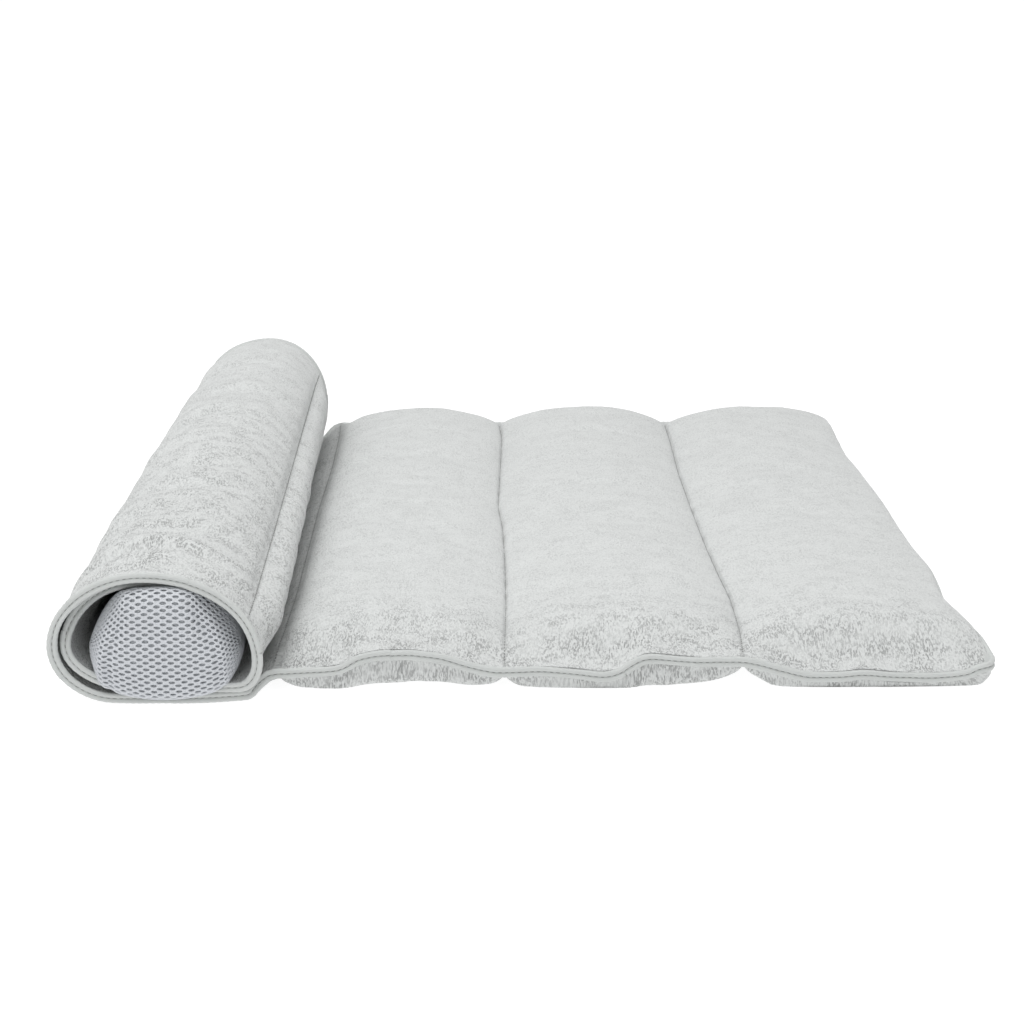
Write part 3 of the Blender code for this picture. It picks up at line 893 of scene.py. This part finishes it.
class Shader:
    """A material being built: nodes are added by type, and joined by their sockets' names."""

    def __init__(self, name, roughness, sheen=0.0):
        self.material = bpy.data.materials.new(name)
        self.material.use_nodes = True
        self.nodes, self.links = self.material.node_tree.nodes, self.material.node_tree.links
        self.surface = self.nodes["Principled BSDF"]
        self.surface.inputs["Roughness"].default_value = roughness
        self.surface.inputs["Sheen Weight"].default_value = sheen
        self.surface.inputs["Sheen Roughness"].default_value = 0.6
        self.surface.inputs["Specular IOR Level"].default_value = 0.2

    def add(self, kind, inputs=None, **settings):
        node = self.nodes.new(kind)
        for key, value in settings.items():
            setattr(node, key, value)
        for key, value in (inputs or {}).items():
            if isinstance(value, bpy.types.NodeSocket):
                self.links.new(value, node.inputs[key])
            else:
                node.inputs[key].default_value = value
        return node

    def cloth(self, scale):
        """The cloth's own coordinates, scaled so that one unit is the given size in metres."""
        uv = self.add("ShaderNodeUVMap", uv_map="cloth")
        inputs = {"Vector": uv.outputs[0], "Scale": (1 / scale[0], 1 / scale[1], 1)}
        return self.add("ShaderNodeMapping", inputs).outputs[0]

    def noise(self, scale=None, detail=2.0, **inputs):
        """Noise over the cloth, with features of about the given size."""
        if scale:
            inputs["Vector"] = self.cloth(scale)
        return self.add("ShaderNodeTexNoise", {"Scale": 1.0, "Detail": detail, **inputs})

    def ramp(self, value, low, high):
        inputs = {"Value": value, "From Min": low, "From Max": high}
        return self.add("ShaderNodeMapRange", inputs, interpolation_type="SMOOTHSTEP").outputs[0]

    def blend(self, amount, first, second):
        node = self.add("ShaderNodeMix", data_type="RGBA")
        node.inputs["Factor"].default_value = 0.5
        self.links.new(amount, node.inputs["Factor"])
        for name, value in (("A", first), ("B", second)):
            socket = next(x for x in node.inputs if x.name == name and x.type == "RGBA")
            if isinstance(value, bpy.types.NodeSocket):
                self.links.new(value, socket)
            else:
                socket.default_value = (*value, 1)
        return next(x for x in node.outputs if x.type == "RGBA")

    def maths(self, operation, a, b):
        return self.add("ShaderNodeMath", {0: a, 1: b}, operation=operation).outputs[0]

    def finish(self, colour, height=None, distance=0.0):
        if isinstance(colour, bpy.types.NodeSocket):
            self.links.new(colour, self.surface.inputs["Base Color"])
        else:
            self.surface.inputs["Base Color"].default_value = (*colour, 1)
        if height is not None:
            bump = self.add("ShaderNodeBump", {"Height": height, "Distance": distance, "Strength": 1.0})
            self.links.new(bump.outputs[0], self.surface.inputs["Normal"])
        return self.material


def terry():
    """Looped towelling: small loops, and short partings that open where the cloth bends, coloured with
    painted shade; painted shade also darkens the cloth between the loops, along the seams and in the
    crease by the roll.
    """
    shader = Shader("terry_towelling", 0.95, sheen=0.2)
    parting = shader.add("ShaderNodeAttribute", attribute_name="parting").outputs["Fac"]
    seam = shader.add("ShaderNodeAttribute", attribute_name="seam").outputs["Fac"]
    drift = shader.noise((0.007, 0.010), detail=1.0)
    strokes_at = shader.add(
        "ShaderNodeVectorMath",
        {0: shader.cloth((0.0010, 0.0023)), 1: drift.outputs["Color"]},
        operation="ADD",
    )
    strokes = shader.noise(detail=1.5, Vector=strokes_at.outputs[0], Roughness=0.6)
    marks = shader.ramp(strokes.outputs["Fac"], 0.46, 0.66)
    loops = shader.add(
        "ShaderNodeTexVoronoi",
        {"Vector": shader.cloth((0.0013, 0.0019)), "Scale": 1.0, "Randomness": 1.0},
    )
    patches = shader.noise((0.020, 0.014))
    opened = shader.maths("MULTIPLY", parting, shader.ramp(patches.outputs["Fac"], 0.25, 0.64))
    opened = shader.maths("MAXIMUM", opened, shader.maths("MULTIPLY", parting, 0.35))
    gap = shader.maths("MULTIPLY", marks, opened)
    height = shader.maths(
        "SUBTRACT",
        shader.maths("MULTIPLY", shader.ramp(loops.outputs["Distance"], 0.85, 0.05), 0.40),
        gap,
    )
    broad = shader.noise((0.05, 0.04), detail=3.0)
    light = tuple(min(c * 1.05, 1) for c in TERRY)
    dull = tuple(c * 0.94 for c in TERRY)
    tone = shader.blend(broad.outputs["Fac"], dull, light)
    # painted shade in the pile's partings
    tone = shader.blend(shader.maths("MULTIPLY", gap, 0.70), tone, TERRY_SHADE)
    shade = shader.maths("MULTIPLY", shader.ramp(loops.outputs["Distance"], 0.45, 0.95), 0.20)
    tone = shader.blend(shade, tone, TERRY_SHADE)
    # painted shade along the seams and in the crease, from the seam attribute
    tone = shader.blend(shader.maths("MULTIPLY", seam, 0.65), tone, TERRY_SHADE)
    return shader.finish(tone, height, 0.0005)


def tape():
    """Close-knitted binding tape with fine ribs across it."""
    shader = Shader("binding_tape", 0.85, sheen=0.15)
    ribs_at = shader.cloth((0.0011, 0.0011))
    ribs = shader.add("ShaderNodeTexWave", {"Vector": ribs_at, "Scale": 0.5, "Distortion": 1.2})
    grain = shader.noise((0.0012, 0.0012))
    broad = shader.noise((0.03, 0.03))
    light = tuple(min(c * 1.05, 1) for c in TAPE_COLOUR)
    tone = shader.blend(broad.outputs["Fac"], tuple(c * 0.93 for c in TAPE_COLOUR), light)
    height = shader.maths("ADD", ribs.outputs["Fac"], grain.outputs["Fac"])
    return shader.finish(tone, height, 0.00015)


def plain(name, colour, roughness):
    """A plain fibre with a faint change of tone."""
    shader = Shader(name, roughness)
    broad = shader.add("ShaderNodeTexNoise", {"Scale": 60.0, "Detail": 2.0})
    light = tuple(min(c * 1.06, 1) for c in colour)
    tone = shader.blend(broad.outputs["Fac"], tuple(c * 0.94 for c in colour), light)
    return shader.finish(tone)


def liner_cloth():
    """The cloth seen through the mesh, with the mesh's upright pile yarns on it."""
    shader = Shader("mesh_liner", 0.9)
    pile = shader.noise((0.0009, 0.0009))
    dull, light = tuple(c * 0.75 for c in LINER_COLOUR), tuple(c * 1.3 for c in LINER_COLOUR)
    tone = shader.blend(shader.ramp(pile.outputs["Fac"], 0.35, 0.65), dull, light)
    return shader.finish(tone, pile.outputs["Fac"], 0.0003)


def strip_pieces(strip, finishes):
    """One strip of padding with its binding, and where a bend between its two bodies would start and end.
    """
    name, start, stop, first, second, channels = strip
    joint = next(j for j in frame["joints"] if {j["parent"], j["child"]} == {first, second})
    i, j = PAD.row(start), PAD.row(stop) + 1
    parts = Parts()
    parts.grid(PAD.points[i:j], ring=True, uv=PAD.uv[i:j], normals=PAD.normals[i:j])
    pad = parts.object(f"pad_{name}", finishes["terry"])
    for key, values in (("parting", PAD.parting), ("seam", PAD.seam)):
        layer = pad.data.attributes.new(key, "FLOAT", "POINT")
        layer.data.foreach_set("value", values[i:j].astype(np.float32).ravel())
    edge = binding(name, PAD.lengths[i], PAD.lengths[j - 1], finishes["tape"], finishes["thread"])
    begin, end = PAD.bend(start, stop, Vector(joint["pos_m"]))
    for obj in (pad, edge):
        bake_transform(obj)
    covers = [f"channel_{c}_{kind}" for c in channels for kind in ("face_cover", "back_cover", "batting")]
    tapes = [n for n in frame["nodes"] for c in channels if n.startswith(f"channel_{c}_binding")]
    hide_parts(*covers)
    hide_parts(*tapes)
    return first, second, begin, end


def futon():
    finishes = {
        "terry": terry(),
        "tape": tape(),
        "thread": plain("sewing_thread", THREAD_AND_GROOVE_SHADE, 0.8),
        "quilt": plain("quilting_thread", THREAD_AND_GROOVE_SHADE, 0.8),
    }
    seams = {"free_end": ("1_2", -2 * PITCH), "middle": ("2_3", -PITCH), "crease": ("3_4", 0.0),
             "roll_left": ("4_5", 0.178), "roll_flank": ("5_6", 0.365), "roll_inside": ("6_7", 0.532)}
    for strip in STRIPS:
        first, second, begin, end = strip_pieces(strip, finishes)
        if strip[0] in seams:
            name, seam = seams[strip[0]]
            thread = quilting(name, PAD.lengths[PAD.row(seam)], finishes["quilt"])
            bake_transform(thread)


def pillow():
    yarn = plain("mesh_yarn", YARN_COLOUR, 0.7)
    skin, liner = pillow_mesh(yarn, liner_cloth())
    for piece in (skin, liner):
        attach(piece, "pillow")
    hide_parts("pillow_panel_top", "pillow_panel_bottom")
    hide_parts("pillow_filling")


FLOOR_HALF = 40.0
FLOOR_LIGHT = 0.86  # the floor's own light, which keeps it white
FLOOR_SINK = 0.0004


def floor():
    """A plain white floor."""
    mesh = bpy.data.meshes.new("floor")
    corners = [(x * FLOOR_HALF, y * FLOOR_HALF, 0) for x, y in ((-1, -1), (1, -1), (1, 1), (-1, 1))]
    mesh.from_pydata(corners, [], [(0, 1, 2, 3)])
    obj = bpy.data.objects.new("floor", mesh)
    bpy.context.scene.collection.objects.link(obj)
    shader = Shader("white_floor", 0.9)
    shader.surface.inputs["Emission Color"].default_value = (1, 1, 1, 1)
    shader.surface.inputs["Emission Strength"].default_value = FLOOR_LIGHT
    mesh.materials.append(shader.finish((0.26, 0.26, 0.26)))
    obj.location.z = -FLOOR_SINK


def lamp(name, place, aim, size, power):
    data = bpy.data.lights.new(name, "AREA")
    data.shape, data.size, data.energy = "DISK", size, power
    obj = bpy.data.objects.new(name, data)
    obj.location = place
    obj.rotation_euler = (Vector(aim) - Vector(place)).to_track_quat("-Z", "Y").to_euler()
    bpy.context.scene.collection.objects.link(obj)


def studio():
    """White surroundings with broad soft light from above and in front."""
    world = bpy.data.worlds.new("studio")
    world.use_nodes = True
    world.node_tree.nodes["Background"].inputs["Color"].default_value = (1, 1, 1, 1)
    world.node_tree.nodes["Background"].inputs["Strength"].default_value = 0.60
    bpy.context.scene.world = world
    lamp("softbox_above", (-0.35, -0.3, 2.2), (0, 0, 0), 2.4, 33)
    lamp("softbox_front", (-1.2, -2.4, 1.3), (0, 0, 0.05), 1.6, 6)
    bpy.context.scene.view_settings.view_transform = "Standard"


CAMERA_PLACE = (-0.0245, -1.654, 0.522)
CAMERA_PITCH = 16.5
CAMERA_YAW = 0.63
LENS = 69.2


def camera():
    data = bpy.data.cameras.new("camera")
    data.lens, data.sensor_width = LENS, 36
    obj = bpy.data.objects.new("camera", data)
    obj.location = CAMERA_PLACE
    obj.rotation_euler = (math.radians(90 - CAMERA_PITCH), 0, math.radians(-CAMERA_YAW))
    bpy.context.scene.collection.objects.link(obj)
    bpy.context.scene.camera = obj


futon()
pillow()
floor()
studio()
camera()
